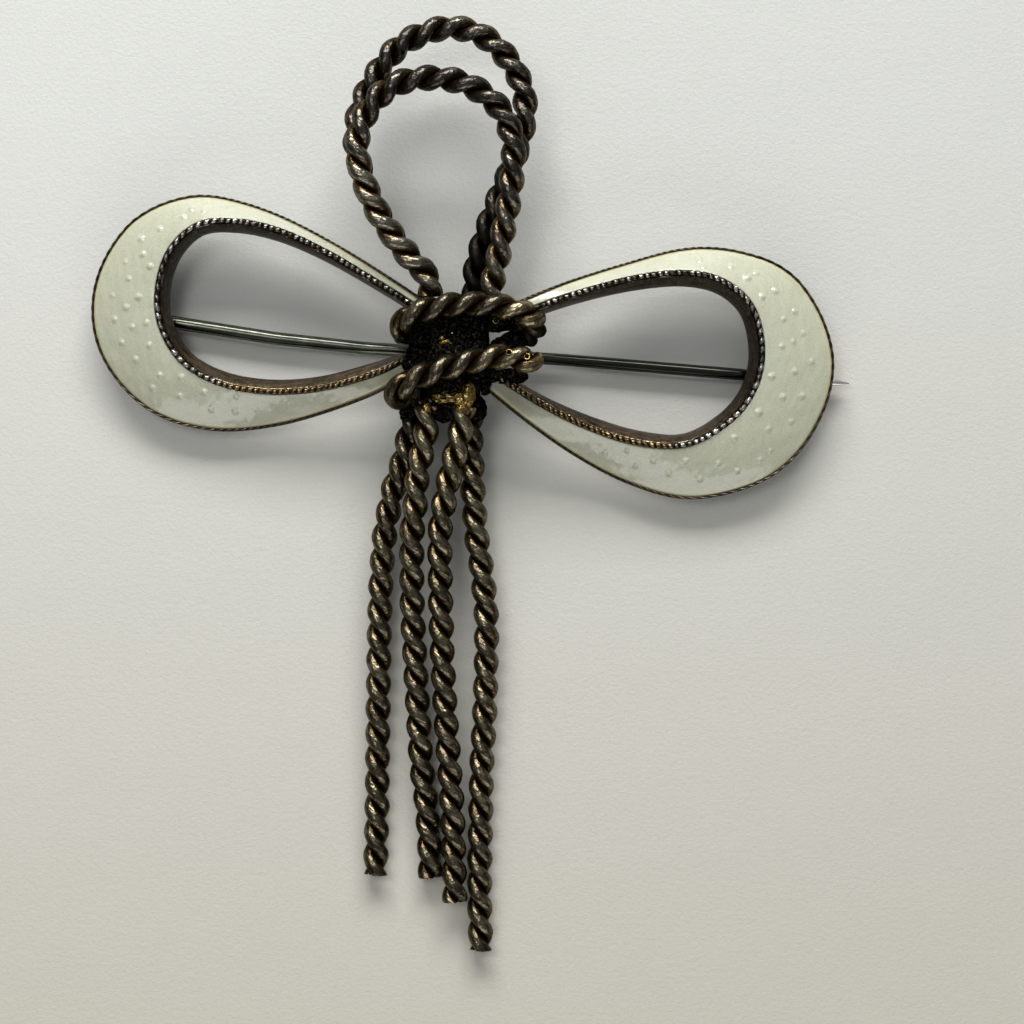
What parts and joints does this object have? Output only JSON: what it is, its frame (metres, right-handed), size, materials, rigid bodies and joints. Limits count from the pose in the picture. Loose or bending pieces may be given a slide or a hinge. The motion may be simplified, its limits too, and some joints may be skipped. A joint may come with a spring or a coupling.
{
  "type": "bow brooch",
  "caption": "Bow brooch lying face up: two enamelled ribbon wings, rope loops and rope tails round a rope-wrapped knot, with a hinged pin behind.",
  "frame": {"origin": "under the middle of the brooch's outline, on the surface that it lies on", "axes": "+X towards the right wing, +Y towards the rope loops, +Z out of the front face"},
  "size_m": [0.072, 0.088, 0.0106],
  "materials": {
    "wing_metal": "tarnished silver-gilt, beaded and milled edges",
    "enamel": "glossy opalescent pale green enamel with small raised dots",
    "rope_silver": "oxidised silver with worn highlights",
    "rope_gilt": "oxidised silver-gilt with worn highlights",
    "solder": "rough black solder with gold glints",
    "fittings": "dull silver",
    "steel": "drawn steel wire with fine scratches"
  },
  "bodies": {
    "brooch": {"left_wing": "wing_metal", "left_enamel": "enamel", "right_wing": "wing_metal", "right_enamel": "enamel", "loop_front": "rope_silver", "loop_back": "rope_silver", "tail_1": "rope_gilt", "tail_2": "rope_gilt", "tail_3": "rope_gilt", "tail_4": "rope_gilt", "knot_wrap": "rope_gilt", "knot_core": "solder", "hinge_bracket": "fittings", "catch": "fittings"},
    "pin": {"pin_stem": "steel"}
  },
  "joints": [
    {"name": "pin_hinge", "type": "hinge", "parent": "brooch", "child": "pin", "pos_m": [-0.03157, 0.01631, 0.0013], "axis": [0.1547, 0.988, 0], "range_deg": [0, 100]}
  ]
}
